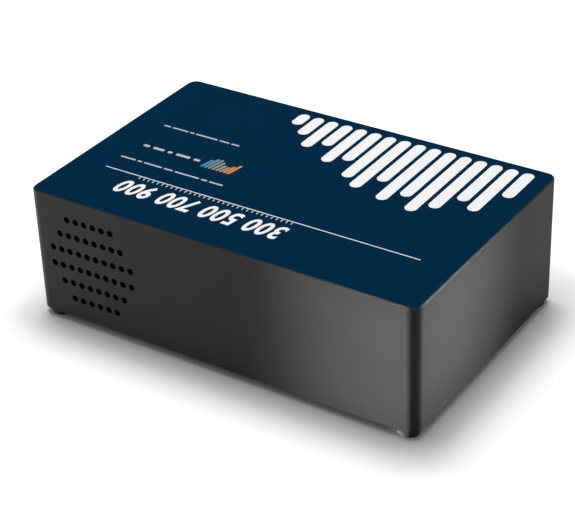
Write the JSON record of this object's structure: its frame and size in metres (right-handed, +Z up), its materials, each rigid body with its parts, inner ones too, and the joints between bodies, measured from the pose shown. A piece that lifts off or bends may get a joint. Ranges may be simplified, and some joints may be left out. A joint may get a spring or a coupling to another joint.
{
  "type": "fibre optic spectrometer",
  "caption": "Low black box-shaped spectrometer with a printed top, an air outlet of round holes in front, a fibre port and sockets behind, and a crossed mirror and grating bench inside.",
  "frame": {"origin": "middle of the bounding box's underside, on the floor that the feet stand on", "axes": "+X to the right along the long side as seen from the front, +Y to the back, where the fibre port and the sockets are, +Z up"},
  "size_m": [0.18, 0.1254, 0.0595],
  "materials": {
    "housing": "satin black anodised finish",
    "cover": "satin black anodised finish",
    "label": "printed polyester film, satin",
    "base": "satin black anodised finish",
    "rubber": "matte grey-black rubber",
    "screw_steel": "zinc plated steel",
    "screw_black": "black oxide steel",
    "fan_plastic": "moulded glass-filled plastic",
    "rotor_plastic": "moulded plastic",
    "bronze": "sintered bronze",
    "shaft_steel": "ground steel",
    "core_steel": "stacked steel core, lacquered",
    "bracket_steel": "zinc plated sheet steel",
    "sink": "extruded aluminium",
    "post_metal": "turned aluminium",
    "bench": "matte black anodised aluminium",
    "mirror_glass": "front-coated glass",
    "holder": "matte black anodised aluminium",
    "grating_glass": "ruled and coated glass",
    "baffle": "dull black paint",
    "ceramic": "ceramic package, glazed",
    "clear_glass": "polished",
    "detector_green": "solder-masked board",
    "board_green": "solder-masked board",
    "copper": "bare copper",
    "white_ceramic": "white ceramic plates",
    "nickel": "nickel plated brass",
    "slit_foil": "blackened foil",
    "post_brass": "turned brass",
    "socket_shell": "tin plated shell",
    "socket_black": "moulded plastic",
    "gold": "gold flashed",
    "lamp": "clear green resin",
    "flex": "amber film",
    "ribbon": "grey vinyl",
    "lead": "black vinyl sleeve"
  },
  "bodies": {
    "housing": {"wall_ring": "housing", "top_cover": "cover", "top_label": "label", "base_plate": "base", "foot_front_left": "rubber", "foot_rear_left": "rubber", "foot_front_right": "rubber", "foot_rear_right": "rubber", "foot_screws": "screw_steel", "cover_screws": "screw_black", "base_screws": "screw_black", "fan_frame": "fan_plastic", "fan_bearing": "bronze", "fan_stator": "core_steel", "fan_bracket": "bracket_steel", "pan_screws": "screw_steel", "heat_sink": "sink", "sink_posts": "post_metal", "bench_tray": "bench", "bench_lid": "bench", "lid_screws": "screw_steel", "collimating_mirror": "mirror_glass", "collimator_holder": "holder", "focusing_mirror": "mirror_glass", "focusing_holder": "holder", "grating": "grating_glass", "grating_turntable": "holder", "optics_screws": "screw_steel", "slit_baffle": "baffle", "light_trap": "baffle", "detector_package": "ceramic", "detector_window": "clear_glass", "detector_lens": "clear_glass", "detector_board": "detector_green", "detector_bracket": "holder", "detector_screws": "screw_steel", "cold_block": "copper", "cooler": "white_ceramic", "heat_spreader": "copper", "fibre_connector": "nickel", "slit_disc": "slit_foil", "slit_retainer": "nickel", "port_spacer": "post_metal", "port_nut": "nickel", "io_board": "board_green", "main_board": "board_green", "board_posts": "post_brass", "board_screws": "screw_steel", "usb_socket": "socket_shell", "jack_socket": "socket_black", "jack_pin": "gold", "header_socket": "socket_black", "header_pins": "gold", "status_lamp": "lamp", "detector_flex": "flex", "board_ribbon": "ribbon", "fan_lead": "lead"},
    "fan": {"fan_rotor": "rotor_plastic", "fan_shaft": "shaft_steel"}
  },
  "joints": [
    {"name": "fan_spin", "type": "hinge", "parent": "housing", "child": "fan", "pos_m": [-0.0605, -0.05475, 0.03125], "axis": [0, 1, 0], "continuous": true}
  ]
}
